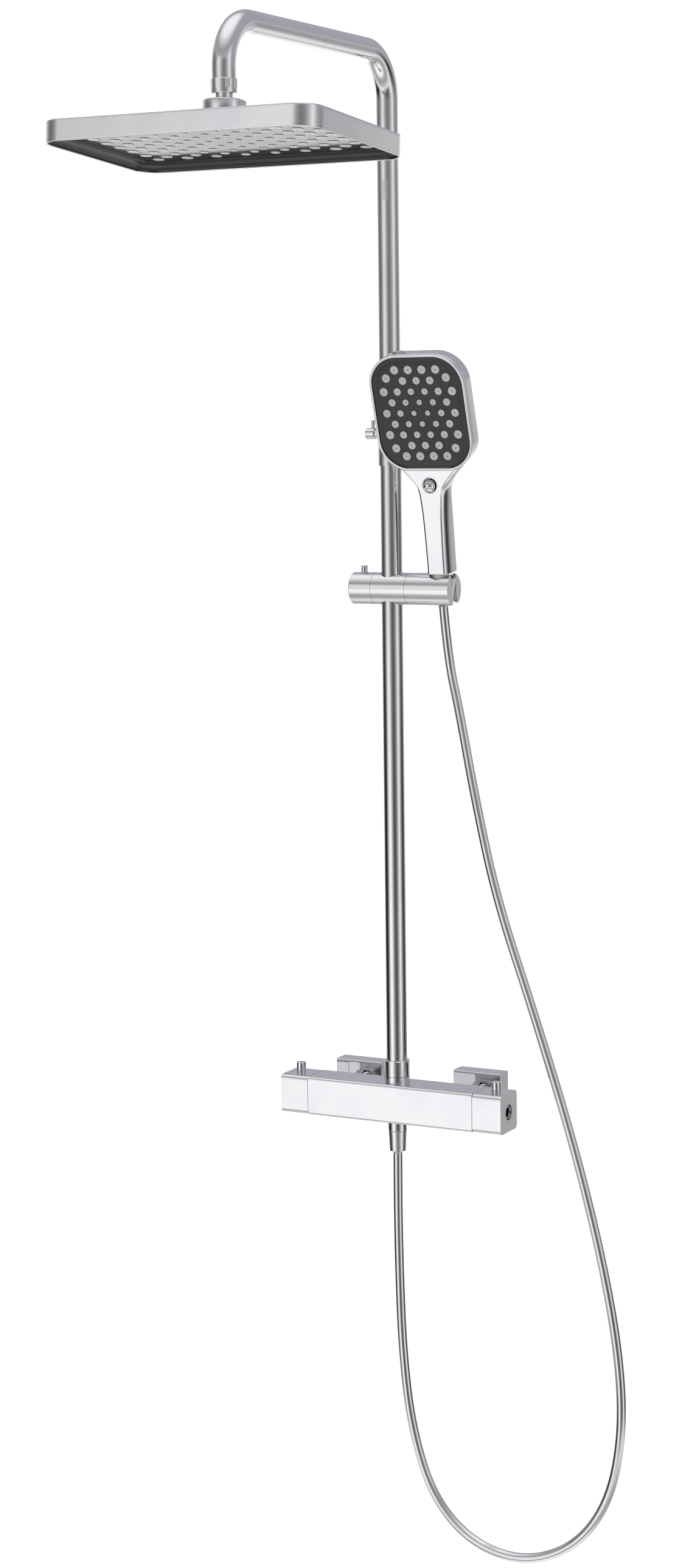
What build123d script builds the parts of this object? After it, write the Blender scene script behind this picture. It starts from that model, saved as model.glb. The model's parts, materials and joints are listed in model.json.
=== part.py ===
"""Exposed rainfall shower column: bar valve, riser with overhead head, slider, handset and hose.

Frame: +X to the right of a person facing the wall, +Y into the wall, +Z up. The origin is on
the wall plane, midway between the two inlets, at the height of the valve's axis.
"""
from build123d import *
import math
import os

# ---- driving dimensions, millimetres and degrees -------------------------------------------
INLET_SPACING = 150.0          # standard centre distance of the two wall inlets
COLUMN_Y = -72.5               # axis of the valve and of the riser, in front of the wall
FIT = 0.3                      # air between curved faces of pieces that move on each other

VALVE_LENGTH = 276.0
VALVE_SIZE = 44.0
HANDLE_LENGTH = 35.0
SEAM = 0.5
BODY_EDGE_R = 3.2
HANDLE_EDGE_R = 5.0
CARTRIDGE_R = 15.0
CARTRIDGE_LENGTH = 52.0
STEM_R = 4.5
PIN_R = 5.4
PIN_TOP_Z = 33.5
PIN_X = 123.0
END_RECESS_R = 8.75
END_RECESS_DEPTH = 9.0
WATERWAY_R = 7.0

FLANGE_SIZE = 58.5             # square wall flange over each inlet
FLANGE_DEPTH = 21.5
UNION_ACROSS_FLATS = 30.0
TAIL_R = 10.48                 # G1/2 male thread, outside radius
TAIL_LENGTH = 18.0

COLLAR_R = 14.6
COLLAR_SEAM_Z = 29.5
COLLAR_TOP_Z = 47.5
OUTLET_R = 10.9
OUTLET_RING_Z = -34.0
OUTLET_CONE_Z = -57.0
OUTLET_CONE_R = 9.5

TUBE_R = 12.0
LOWER_BORE_R = 10.8
UPPER_BORE_R = 10.4
GUIDE_BORE_R = 9.0
LOWER_TUBE_TOP_Z = 739.7
BUSH_HEIGHT = 16.0
SLEEVE_R = 13.8
SLEEVE_BOTTOM_Z = 713.2
SLEEVE_TOP_Z = 783.2
BRACKET_ARM_R = 10.0
BRACKET_PLATE_R = 27.0
BRACKET_PLATE_T = 6.0
BRACKET_HOLE_R = 2.6
BRACKET_HOLE_SPACING = 38.0
LOCK_Z = 748.3
LOCK_KNOB_R = 6.35
LOCK_LEVER_R = 2.0
GUIDE_TUBE_LENGTH = 340.0      # slim tube of the riser inside the lower tube

ARM_REACH = 354.0
ARM_Z = 1156.5
ARM_BEND_R = 50.0
ARM_END_Z = 1097.2
BALL_NUT_R = 13.05
BALL_NUT_Z = (1082.3, 1096.9)
BALL_Z = 1065.0
BALL_R = 14.0
BALL_NECK_R = 8.8
SEAT_R = (14.1, 15.3)
SEAT_BELT = (-9.0, 4.0)        # heights of the seat ring's edges from the ball's centre
CAVITY_R = 15.4
SOCKET_R = 21.6
SOCKET_SHOULDER_Z = 1073.0
SOCKET_TOP_Z = 1078.2
SOCKET_SPLIT_Z = 1065.4
CAP_LIP = (12.3, 7.3)          # radius and height above the ball's centre
CAP_MOUTH_R = 14.6

HEAD_TILT = -5.0               # the head's front edge is up by 5 degrees
HEAD_WIDTH = 305.0
HEAD_DEPTH = 204.0
HEAD_WALL = 21.8
HEAD_CORNER_R = 25.0
HEAD_TOP_Z = 1048.9
HEAD_LIP = 2.2
HEAD_ROOF = 2.5
HEAD_PLATE_INSET = 15.0
HEAD_PLATE_UP = 9.5            # face plate above the lower lip
HEAD_PLATE_T = 2.5
HEAD_PITCH_X = 34.1
HEAD_PITCH_Y = 12.35
HEAD_ROWS = 13
HEAD_JET_R = (2.3, 6.15)       # nozzle radius in the middle and at the rim
MAT_T = 1.5
JET_PROUD = 0.6

SLIDER_Z = 578.0
SLIDER_R = 18.0
SLIDER_X = (-46.0, -18.5, 23.0, 76.0)
SLIDER_LEVER_R = 3.6
SLIDER_LEVER_X = -34.0
SLIDER_BORE_R = 12.5
SLIDER_CAVITY_R = 14.7
SLIDER_CAVITY_HALF = 8.5
CRADLE_X = 61.5                # axis of the handset's socket
CRADLE_SLOT = 11.4
CRADLE_TILT = 8.4              # the handset leans forward in its holder

HOSE_R = 5.4
CONE_NUT = (7.7, 12.2, -15.0, 11.0)   # bottom radius, top radius, bottom, top along the socket
HANDLE_BOTTOM = 18.4
FACE_UP = 196.8                # centre of the handset's face along the handle's axis
FACE_FORWARD = 22.0
FACE_TILT = 8.9
FACE_SIZE = (113.0, 129.8)
FACE_CORNER_R = 35.0
FACE_DEPTH = 20.5
RIM_WIDTH = 2.9
FACE_RECESS = 1.6
FACE_PLATE_T = 3.0
FACE_PITCH = (16.27, 12.05)
FACE_ROWS = (4, 5, 6, 5, 6, 5, 6, 5, 4)
FACE_JET_R = (2.5, 4.7)
FACE_SHIFTED = (35.65, 39.2)   # the four corner nozzles stand off the lattice
BUTTON_UP = 117.0
BUTTON_R = 7.1
BUTTON_RECESS_R = 8.0
BUTTON_RECESS_FLOOR = -1.0
BUTTON_FRONT = -12.5           # where the ball-shaped front begins
BUTTON_BACK = -7.6
SPRING_R = 4.6
SPRING_WIRE_R = 0.45
SPRING_TURNS = 3.5
SPRING_GAP = 0.1               # air at each end of the spring

# Route of the hose: x, y, z of each turning point, from the valve's outlet to the handset.
HOSE_ROUTE = [
    (0.0, -72.5, -57.0), (-0.5, -72.5, -115.0), (0.5, -72.5, -200.0), (4.0, -73.5, -290.0),
    (15.0, -75.0, -378.0), (42.0, -77.0, -456.0), (92.0, -79.0, -502.0), (158.0, -80.0, -513.0),
    (219.0, -79.0, -485.0), (259.0, -77.0, -428.0), (274.0, -75.0, -352.0),
    (271.0, -73.5, -270.0), (252.0, -72.5, -165.0), (217.0, -72.0, -32.0),
    (170.5, -71.0, 108.0), (123.5, -70.0, 238.0), (96.0, -68.0, 355.0),
    (77.0, -63.5, 444.0), (62.5, -61.4, 502.0), (61.5, -70.3, 563.05),
]


# ---- helpers ---------------------------------------------------------------------------------
def rod_z(radius, bottom, top, x=0.0, y=0.0):
    """Cylinder along Z between two heights."""
    return Pos(x, y, bottom) * Cylinder(radius, top - bottom, align=(Align.CENTER, Align.CENTER, Align.MIN))


def cone_z(bottom_r, top_r, bottom, top, x=0.0, y=0.0):
    """Cone along Z between two heights."""
    body = Cone(bottom_r, top_r, top - bottom, align=(Align.CENTER, Align.CENTER, Align.MIN))
    return Pos(x, y, bottom) * body


def rod_x(radius, start, end, y=0.0, z=0.0):
    """Cylinder along X between two places."""
    return Pos(start, y, z) * Rot(0, 90, 0) * rod_z(radius, 0, end - start)


def rod_y(radius, start, end, x=0.0, z=0.0):
    """Cylinder along Y between two places."""
    return Pos(x, start, z) * Rot(-90, 0, 0) * rod_z(radius, 0, end - start)


def tube_z(outer, inner, bottom, top, x=0.0, y=0.0):
    """Straight tube along Z."""
    return rod_z(outer, bottom, top, x, y) - rod_z(inner, bottom, top, x, y)


def bar_x(start, end, edge_r):
    """Square bar along X on the valve's axis, its four long edges rounded."""
    bar = Pos((start + end) / 2, COLUMN_Y, 0) * Box(end - start, VALVE_SIZE, VALVE_SIZE)
    return fillet(bar.edges().filter_by(Axis.X), edge_r)


def slab(width, depth, corner_r, bottom, top):
    """Rounded rectangular plate lying flat, between two heights."""
    return Pos(0, 0, bottom) * extrude(RectangleRounded(width, depth, corner_r), top - bottom)


def belt(outer, inner, low, high):
    """Zone of a spherical shell round the ball's centre, between two heights."""
    shell = Sphere(outer) - Sphere(inner)
    return shell & rod_z(outer + 1, low, high)


# ---- valve -----------------------------------------------------------------------------------
BODY_HALF = VALVE_LENGTH / 2 - HANDLE_LENGTH
CARTRIDGE_END = BODY_HALF - CARTRIDGE_LENGTH


def valve_body():
    body = bar_x(-BODY_HALF, BODY_HALF, BODY_EDGE_R)
    for side in (-1, 1):
        ends = sorted((side * CARTRIDGE_END, side * (BODY_HALF + 1)))
        body -= rod_x(CARTRIDGE_R + 0.05, ends[0], ends[1], COLUMN_Y)
        body -= rod_y(WATERWAY_R, COLUMN_Y, COLUMN_Y + VALVE_SIZE, side * INLET_SPACING / 2)
        body += rod_y(12.5, COLUMN_Y + VALVE_SIZE / 2, COLUMN_Y + VALVE_SIZE / 2 + 5, side * INLET_SPACING / 2)
        body -= rod_y(WATERWAY_R, COLUMN_Y + 16, COLUMN_Y + VALVE_SIZE, side * INLET_SPACING / 2)
    body -= rod_x(WATERWAY_R, -CARTRIDGE_END - 1, CARTRIDGE_END + 1, COLUMN_Y)
    body -= rod_z(WATERWAY_R, -VALVE_SIZE, VALVE_SIZE, 0, COLUMN_Y)
    return body


def cartridge(side):
    """Ceramic cartridge with its stem, from the waterway to inside the handle."""
    inner = side * (CARTRIDGE_END + 0.5)
    outer = side * (BODY_HALF + 2)
    tip = side * (BODY_HALF + 18)
    barrel = rod_x(CARTRIDGE_R, min(inner, outer), max(inner, outer), COLUMN_Y)
    barrel -= rod_y(WATERWAY_R, COLUMN_Y + 8, COLUMN_Y + VALVE_SIZE, side * INLET_SPACING / 2)
    return barrel + rod_x(STEM_R, min(outer, tip), max(outer, tip), COLUMN_Y)


def handle(side):
    """Square handle on the end of the bar, hollow for the stem, with a recess in its end face."""
    inner = side * (BODY_HALF + SEAM)
    outer = side * VALVE_LENGTH / 2
    block = bar_x(min(inner, outer), max(inner, outer), HANDLE_EDGE_R)
    pocket = sorted((inner - side, side * (BODY_HALF + 4)))
    stem_hole = sorted((inner - side, side * (BODY_HALF + 18.5)))
    recess = sorted((outer + side, outer - side * END_RECESS_DEPTH))
    screw_hole = sorted((outer, side * (BODY_HALF + 18)))
    block -= rod_x(CARTRIDGE_R + 1, pocket[0], pocket[1], COLUMN_Y)
    block -= rod_x(STEM_R + FIT, stem_hole[0], stem_hole[1], COLUMN_Y)
    block -= rod_x(END_RECESS_R, recess[0], recess[1], COLUMN_Y)
    block -= rod_x(2.0, screw_hole[0], screw_hole[1], COLUMN_Y)
    return block - rod_z(3.0, VALVE_SIZE / 2 - 6, VALVE_SIZE, side * PIN_X, COLUMN_Y)


def handle_pin(side):
    """Finger pin on top of a handle, held by a stud."""
    pin = rod_z(PIN_R, VALVE_SIZE / 2, PIN_TOP_Z, side * PIN_X, COLUMN_Y)
    pin = chamfer(pin.edges().group_by(Axis.Z)[-1], 0.5)
    return pin + rod_z(3.0, VALVE_SIZE / 2 - 6, VALVE_SIZE / 2, side * PIN_X, COLUMN_Y)


def handle_screw(side):
    """Socket-head screw at the bottom of the end recess, into the stem side of the handle."""
    floor = VALVE_LENGTH / 2 - END_RECESS_DEPTH
    head = rod_x(5.0, floor, floor + 3.5, 0) - rod_x(1.8, floor + 1.2, floor + 4, 0)
    screw = head + rod_x(2.0, BODY_HALF + 18.5, floor, 0)
    turned = screw if side > 0 else Rot(0, 0, 180) * screw
    return Pos(0, COLUMN_Y, 0) * turned


# ---- inlets ----------------------------------------------------------------------------------
UNION_FRONT = COLUMN_Y + VALVE_SIZE / 2


def union_nut(side):
    """Hexagon union nut behind the valve, over the valve's boss and the connector's collar."""
    x = side * INLET_SPACING / 2
    hexagon = RegularPolygon(UNION_ACROSS_FLATS / 2, 6, major_radius=False)
    nut = Pos(x, UNION_FRONT + 0.6, 0) * Rot(-90, 0, 0) * extrude(hexagon, 16.4)
    nut &= rod_y(UNION_ACROSS_FLATS / 2 + 1.6, UNION_FRONT, UNION_FRONT + 20, x)
    nut -= rod_y(12.6, UNION_FRONT, UNION_FRONT + 14, x)
    return nut - rod_y(9.6, UNION_FRONT, UNION_FRONT + 20, x)


def inlet_washer(side):
    x = side * INLET_SPACING / 2
    return rod_y(12.0, UNION_FRONT + 5, UNION_FRONT + 7, x) - rod_y(WATERWAY_R, UNION_FRONT, UNION_FRONT + 8, x)


def wall_connector(side):
    """Straight-through wall connector: collar in the union nut, barrel, thread into the wall."""
    x = side * INLET_SPACING / 2
    body = rod_y(12.2, UNION_FRONT + 7, UNION_FRONT + 13.9, x)
    body += rod_y(9.4, UNION_FRONT + 10, -4, x)
    body += rod_y(TAIL_R, -8, TAIL_LENGTH, x)
    return body - rod_y(6.0, UNION_FRONT, TAIL_LENGTH + 1, x)


def wall_flange(side):
    """Square flange that covers the hole in the wall."""
    x = side * INLET_SPACING / 2
    shell = Pos(x, -FLANGE_DEPTH / 2, 0) * Box(FLANGE_SIZE, FLANGE_DEPTH, FLANGE_SIZE)
    shell = fillet(shell.edges().group_by(Axis.Y)[0], 0.8)
    shell -= Pos(x, -FLANGE_DEPTH / 2 + 2, 0) * Box(FLANGE_SIZE - 4, FLANGE_DEPTH, FLANGE_SIZE - 4)
    return shell - rod_y(TAIL_R + 0.4, -FLANGE_DEPTH - 1, 1, x)


# ---- riser -----------------------------------------------------------------------------------
def collar_ring():
    return tube_z(COLLAR_R, LOWER_BORE_R, VALVE_SIZE / 2, COLLAR_SEAM_Z - 0.4, 0, COLUMN_Y)


def collar_nut():
    nut = tube_z(COLLAR_R, TUBE_R, COLLAR_SEAM_Z, COLLAR_TOP_Z, 0, COLUMN_Y)
    return chamfer(nut.edges().group_by(Axis.Z)[-1], 0.6)


def lower_tube():
    return tube_z(TUBE_R, LOWER_BORE_R, COLLAR_SEAM_Z, LOWER_TUBE_TOP_Z, 0, COLUMN_Y)


def bracket_sleeve():
    """Sleeve over the joint of the two tubes; its bore is wider above the lower tube."""
    sleeve = tube_z(SLEEVE_R, TUBE_R, SLEEVE_BOTTOM_Z, LOWER_TUBE_TOP_Z, 0, COLUMN_Y)
    sleeve += tube_z(SLEEVE_R, TUBE_R + FIT, LOWER_TUBE_TOP_Z, SLEEVE_TOP_Z, 0, COLUMN_Y)
    return sleeve - rod_x(3.2, -SLEEVE_R - 2, -SLEEVE_R + 3, COLUMN_Y, LOCK_Z)


def bracket_arm():
    """Stem from the wall plate to the sleeve."""
    stem = rod_y(BRACKET_ARM_R, COLUMN_Y + 5, -BRACKET_PLATE_T, 0, LOCK_Z)
    return stem - rod_z(SLEEVE_R, SLEEVE_BOTTOM_Z, SLEEVE_TOP_Z, 0, COLUMN_Y)


def bracket_plate():
    plate = rod_y(BRACKET_PLATE_R, -BRACKET_PLATE_T, 0, 0, LOCK_Z)
    plate = fillet(plate.edges().group_by(Axis.Y)[0], 1.0)
    for side in (-1, 1):
        plate -= rod_y(BRACKET_HOLE_R, -BRACKET_PLATE_T - 1, 1, side * BRACKET_HOLE_SPACING / 2, LOCK_Z)
    return plate


def lock_knob():
    """Clamp knob of the telescopic joint: drum, neck and threaded tip."""
    knob = rod_x(LOCK_KNOB_R, -29.0, -18.5, COLUMN_Y, LOCK_Z)
    knob = chamfer(knob.edges().group_by(Axis.X)[0], 0.5)
    knob += rod_x(4.4, -18.5, -SLEEVE_R - 0.5, COLUMN_Y, LOCK_Z)
    knob += rod_x(2.9, -SLEEVE_R - 0.5, -TUBE_R - 0.5, COLUMN_Y, LOCK_Z)
    return knob - rod_z(LOCK_LEVER_R, LOCK_Z + 3, LOCK_Z + 10, -21.4, COLUMN_Y)


def lock_lever():
    return rod_z(LOCK_LEVER_R, LOCK_Z + 3, LOCK_Z + 14.7, -21.4, COLUMN_Y)


def joint_bush():
    """Plastic ring between the two tube ends, on which the riser turns."""
    bottom = LOWER_TUBE_TOP_Z + FIT
    return tube_z(TUBE_R, UPPER_BORE_R + FIT, bottom, bottom + BUSH_HEIGHT, 0, COLUMN_Y)


UPPER_TUBE_Z = LOWER_TUBE_TOP_Z + BUSH_HEIGHT + 2 * FIT


def guide_tube():
    """Slim tube of the riser that slides inside the lower tube."""
    top = UPPER_TUBE_Z + 34
    return tube_z(UPPER_BORE_R, GUIDE_BORE_R, top - GUIDE_TUBE_LENGTH, top, 0, COLUMN_Y)


def guide_seals():
    """Two sealing rings at the foot of the slim tube."""
    foot = UPPER_TUBE_Z + 34 - GUIDE_TUBE_LENGTH
    rings = [tube_z(LOWER_BORE_R - 0.05, UPPER_BORE_R, foot + up, foot + up + 2.4, 0, COLUMN_Y) for up in (6, 14)]
    return Compound(rings)


def upper_tube():
    """Bent tube: up from the joint, forward over the user, down to the shower head."""
    front = COLUMN_Y - ARM_REACH
    corners = [(0, COLUMN_Y, UPPER_TUBE_Z), (0, COLUMN_Y, ARM_Z), (0, front, ARM_Z), (0, front, ARM_END_Z)]
    path = FilletPolyline(*corners, radius=ARM_BEND_R)
    start = Plane(origin=corners[0], z_dir=(0, 0, 1))
    return sweep(start * (Circle(TUBE_R) - Circle(UPPER_BORE_R)), path=path)


# ---- overhead shower -------------------------------------------------------------------------
HEAD_Y = COLUMN_Y - ARM_REACH


def arm_nipple():
    return tube_z(UPPER_BORE_R - 0.02, 8.4, BALL_NUT_Z[0] + 4, ARM_END_Z + 8, 0, HEAD_Y)


def ball_nut():
    """Nut over the arm's end, with grip flats cut round its upper part."""
    low, high = BALL_NUT_Z
    nut = rod_z(BALL_NUT_R, low, high)
    nut = chamfer(nut.edges().group_by(Axis.Z)[0] + nut.edges().group_by(Axis.Z)[-1], 0.7)
    flats = 8
    for k in range(flats):
        cutter = Pos(BALL_NUT_R + 0.55, 0, low + 9.5) * Box(2, 5.2, 9)
        nut -= Rot(0, 0, 360 / flats * k) * cutter
    nut -= rod_z(UPPER_BORE_R + FIT, low + 3.6, high + 1)
    return Pos(0, HEAD_Y, 0) * (nut - rod_z(BALL_NECK_R, low - 1, low + 5))


def ball_stud():
    """Ball of the swivel joint with its neck, drilled through for the water."""
    stud = Pos(0, 0, BALL_Z) * Sphere(BALL_R)
    stud += rod_z(BALL_NECK_R, BALL_Z, BALL_NUT_Z[0] + 3.5)
    return Pos(0, HEAD_Y, 0) * (stud - rod_z(5.0, BALL_Z - BALL_R - 1, BALL_NUT_Z[0] + 5))


TILTED = Pos(0, HEAD_Y, BALL_Z) * Rot(HEAD_TILT, 0, 0) * Pos(0, 0, -BALL_Z)


def ball_seat():
    """Plastic seat ring that wraps the ball's equator."""
    return Pos(0, HEAD_Y, BALL_Z) * Rot(HEAD_TILT, 0, 0) * belt(SEAT_R[1], SEAT_R[0], *SEAT_BELT)


def ball_socket():
    """Cup on the back of the head, under the ball."""
    cup = rod_z(SOCKET_R, HEAD_TOP_Z, SOCKET_SPLIT_Z)
    cup -= Pos(0, 0, BALL_Z) * Sphere(CAVITY_R)
    return TILTED * (cup - rod_z(8.0, HEAD_TOP_Z - 1, HEAD_TOP_Z + 6))


def socket_cap():
    """Domed ring that holds the ball in its cup."""
    cap = rod_z(SOCKET_R, SOCKET_SPLIT_Z, SOCKET_SHOULDER_Z)
    cap += cone_z(SOCKET_R, CAP_MOUTH_R + 1.2, SOCKET_SHOULDER_Z, SOCKET_TOP_Z)
    cap -= Pos(0, 0, BALL_Z) * Sphere(CAVITY_R) & rod_z(CAVITY_R + 1, BALL_Z - 2, BALL_Z + CAP_LIP[1] - 0.6)
    cap -= cone_z(CAP_LIP[0], CAP_MOUTH_R, BALL_Z + CAP_LIP[1] - 0.7, SOCKET_TOP_Z + 0.01)
    return TILTED * cap


HEAD_LIP_Z = HEAD_TOP_Z - HEAD_WALL
PLATE_BOTTOM_Z = HEAD_LIP_Z + HEAD_PLATE_UP
PLATE_TOP_Z = PLATE_BOTTOM_Z + HEAD_PLATE_T


def inset(amount):
    """Width, depth and corner radius of the head's outline, moved inwards."""
    return HEAD_WIDTH - 2 * amount, HEAD_DEPTH - 2 * amount, HEAD_CORNER_R - min(amount, HEAD_CORNER_R - 8)


def head_shell():
    """Chromed tray with a thin wall, open below."""
    tray = slab(*inset(0), HEAD_LIP_Z, HEAD_TOP_Z)
    tray = fillet(tray.edges().group_by(Axis.Z)[-1], 1.2)
    tray -= slab(*inset(HEAD_LIP), HEAD_LIP_Z - 1, HEAD_TOP_Z - HEAD_ROOF)
    return TILTED * (tray - rod_z(8.0, HEAD_TOP_Z - 6, HEAD_TOP_Z + 1))


def head_bezel():
    """Black sloping border between the lip and the face plate."""
    outer = inset(HEAD_LIP + 0.05)
    lower = inset(HEAD_LIP + 1.2)
    upper = inset(HEAD_PLATE_INSET)
    block = slab(*outer, HEAD_LIP_Z + 0.4, PLATE_TOP_Z)
    mouth = loft([Pos(0, 0, HEAD_LIP_Z + 0.3) * RectangleRounded(*lower),
                  Pos(0, 0, PLATE_BOTTOM_Z) * RectangleRounded(*upper)])
    return TILTED * (block - mouth - slab(*upper, PLATE_BOTTOM_Z - 0.5, PLATE_TOP_Z + 1))


def head_jets():
    """Centre and radius of every nozzle: rows of 8 and 7 by turns, larger towards the rim."""
    half = HEAD_ROWS // 2
    reach = math.hypot(3.5 * HEAD_PITCH_X, half * HEAD_PITCH_Y)
    jets = []
    for row in range(-half, half + 1):
        count = 8 if row % 2 == 0 else 7
        for k in range(count):
            x = (k - (count - 1) / 2) * HEAD_PITCH_X
            y = row * HEAD_PITCH_Y
            share = min(1.0, 1.25 * math.hypot(x, y) / reach)
            jets.append((x, y, HEAD_JET_R[0] + (HEAD_JET_R[1] - HEAD_JET_R[0]) * share))
    return jets


def pegs(jets, bottom, top, grow=0.0):
    """One short cylinder for each nozzle, as one solid-by-solid group."""
    return [Pos(x, y, bottom) * Cylinder(r + grow, top - bottom, align=(Align.CENTER, Align.CENTER, Align.MIN))
            for x, y, r in jets]


def head_plate():
    width, depth, corner = inset(HEAD_PLATE_INSET + 0.05)
    plate = slab(width, depth, corner, PLATE_BOTTOM_Z, PLATE_TOP_Z)
    return TILTED * (plate - pegs(head_jets(), PLATE_BOTTOM_Z - 1, PLATE_TOP_Z + 1, 0.06))


def head_nozzles():
    """Silicone mat whose nozzles stand through the face plate."""
    mat = slab(*inset(HEAD_PLATE_INSET + 2), PLATE_TOP_Z, PLATE_TOP_Z + MAT_T)
    return TILTED * (mat + pegs(head_jets(), PLATE_BOTTOM_Z - JET_PROUD, PLATE_TOP_Z + 0.2))


def head_cover():
    """Inner cover that closes the water chamber above the mat."""
    bottom = PLATE_TOP_Z + MAT_T
    top = HEAD_TOP_Z - HEAD_ROOF
    cover = slab(*inset(HEAD_LIP + 3), bottom, top - 0.2)
    cover -= slab(*inset(HEAD_PLATE_INSET + 5), bottom - 1, top - 2.0)
    return TILTED * (cover - rod_z(8.0, bottom - 1, top + 1))


# ---- slider ----------------------------------------------------------------------------------
def slider_bush():
    return tube_z(SLIDER_CAVITY_R - FIT, TUBE_R + FIT, SLIDER_Z - 8.2, SLIDER_Z + 8.2, 0, COLUMN_Y)


def slider_block():
    """Middle drum that the riser passes through, hollow for the bush."""
    drum = rod_x(SLIDER_R, SLIDER_X[1], SLIDER_X[2], COLUMN_Y, SLIDER_Z)
    drum -= rod_z(SLIDER_BORE_R, SLIDER_Z - 30, SLIDER_Z + 30, 0, COLUMN_Y)
    half = SLIDER_CAVITY_HALF
    drum -= rod_z(SLIDER_CAVITY_R, SLIDER_Z - half, SLIDER_Z + half, 0, COLUMN_Y)
    drum -= rod_x(4.3, SLIDER_X[1] - 1, 0, COLUMN_Y, SLIDER_Z)
    return drum - rod_x(5.0, 10, SLIDER_X[2] + 1, COLUMN_Y, SLIDER_Z)


def slider_knob():
    """Clamp knob on the left of the slider with its screw."""
    knob = rod_x(SLIDER_R, SLIDER_X[0], SLIDER_X[1] - FIT, COLUMN_Y, SLIDER_Z)
    knob = fillet(knob.edges().group_by(Axis.X)[0], 0.8)
    knob += rod_x(4.0, SLIDER_X[1] - FIT, -SLIDER_CAVITY_R - 0.3, COLUMN_Y, SLIDER_Z)
    return knob - rod_z(SLIDER_LEVER_R, SLIDER_Z + 9, SLIDER_Z + 30, SLIDER_LEVER_X, COLUMN_Y)


def slider_lever():
    lever = rod_z(SLIDER_LEVER_R, SLIDER_Z + 9, SLIDER_Z + 25.5, SLIDER_LEVER_X, COLUMN_Y)
    return chamfer(lever.edges().group_by(Axis.Z)[-1], 0.4)


def cradle_pin():
    """Pivot pin pressed into the drum, on which the cradle tilts."""
    return rod_x(5.0, SLIDER_CAVITY_R + 0.5, 40.0, COLUMN_Y, SLIDER_Z)


SOCKET = Pos(CRADLE_X, COLUMN_Y, SLIDER_Z) * Rot(CRADLE_TILT, 0, 0)


def cradle():
    """Right-hand drum with the tapered socket for the hose nut and the slot for the hose."""
    low_r, high_r, low, high = CONE_NUT
    drum = rod_x(SLIDER_R, SLIDER_X[2] + FIT, SLIDER_X[3], COLUMN_Y, SLIDER_Z)
    socket = cone_z(low_r + FIT, high_r + FIT, low, high)
    socket += rod_z(high_r + FIT, high, high + 20)
    socket += rod_z(low_r + FIT, low - 20, low)
    slot = Pos(SLIDER_X[3] - CRADLE_X, 0, 0) * Box(2 * (SLIDER_X[3] - CRADLE_X), CRADLE_SLOT, 60)
    drum -= SOCKET * (socket + slot)
    return drum - rod_x(5.05, SLIDER_X[2], 40.5, COLUMN_Y, SLIDER_Z)


# ---- handset, drawn upright along its socket and then leaned forward ---------------------------
FACE = Pos(0, -FACE_FORWARD, FACE_UP) * Rot(90 + FACE_TILT, 0, 0)


def face_slab(margin, front, back):
    """Rounded-square plate parallel to the face; positive places lie behind the rim's plane."""
    width, height = FACE_SIZE
    outline = RectangleRounded(width - 2 * margin, height - 2 * margin, FACE_CORNER_R - margin)
    return FACE * Pos(0, 0, -back) * extrude(outline, back - front)


def handle_solid():
    """Loft of rounded sections from the foot of the handle into the head."""
    sections = [(HANDLE_BOTTOM, 27.4, 25.2, 0.6), (60.0, 28.4, 24.6, 0.3), (90.0, 30.4, 22.6, -0.7),
                (106.0, 33.4, 20.4, -1.8), (116.0, 38.5, 19.2, -2.4), (123.0, 47.0, 18.8, -2.6),
                (130.0, 60.0, 18.2, -2.9), (140.0, 74.0, 17.4, -3.3)]
    outlines = [Pos(0, y, z) * RectangleRounded(w, d, 8.0) for z, w, d, y in sections]
    return loft(outlines, ruled=True)


def handset_shell():
    """One-piece chromed shell of head and handle."""
    handle = handle_solid() - rod_z(9.35, HANDLE_BOTTOM - 1, HANDLE_BOTTOM + 8)
    handle -= rod_z(5.0, HANDLE_BOTTOM + 7, 100.0, 0, 0.5)
    handle -= rod_y(BUTTON_RECESS_R, -30.0, BUTTON_RECESS_FLOOR, 0, BUTTON_UP)
    head = face_slab(0.0, 0.0, FACE_DEPTH)
    head = fillet(head.edges().sort_by(Axis.Y)[-8:], 3.0)
    body = head + handle - face_slab(RIM_WIDTH, -1.0, FACE_DEPTH - 4.0)
    return body - rod_z(2.4, 98.0, 143.0, 0, 2.9)


def handset_jets():
    """Centre and radius of the 46 nozzles, rows of 4, 5 and 6, larger towards the rim."""
    jets = []
    middle = len(FACE_ROWS) // 2
    reach = math.hypot(2.5 * FACE_PITCH[0], 2 * FACE_PITCH[1])
    for row, count in enumerate(FACE_ROWS):
        for k in range(count):
            x = (k - (count - 1) / 2) * FACE_PITCH[0]
            y = (middle - row) * FACE_PITCH[1]
            if row in (1, 7) and k in (0, 4):
                x = math.copysign(FACE_SHIFTED[0], x)
                y = math.copysign(FACE_SHIFTED[1], y)
            share = min(1.0, math.hypot(x, y) / reach)
            jets.append((x, y, FACE_JET_R[0] + (FACE_JET_R[1] - FACE_JET_R[0]) * share))
    return jets


PLATE_BACK = FACE_RECESS + FACE_PLATE_T


def handset_plate():
    plate = face_slab(RIM_WIDTH + 0.05, FACE_RECESS, PLATE_BACK)
    return plate - [FACE * peg for peg in pegs(handset_jets(), -PLATE_BACK - 1, 1, 0.06)]


def handset_nozzles():
    mat = face_slab(RIM_WIDTH + 2.5, PLATE_BACK, PLATE_BACK + MAT_T)
    return mat + [FACE * peg for peg in pegs(handset_jets(), -PLATE_BACK - 0.2, -FACE_RECESS + JET_PROUD)]


def handset_chamber():
    """Spray chamber behind the mat: a shallow dish with its floor to the back."""
    dish = face_slab(RIM_WIDTH + 3.0, PLATE_BACK + MAT_T, FACE_DEPTH - 4.2)
    return dish - face_slab(RIM_WIDTH + 5.0, PLATE_BACK + MAT_T - 1, FACE_DEPTH - 6.2)


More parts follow.
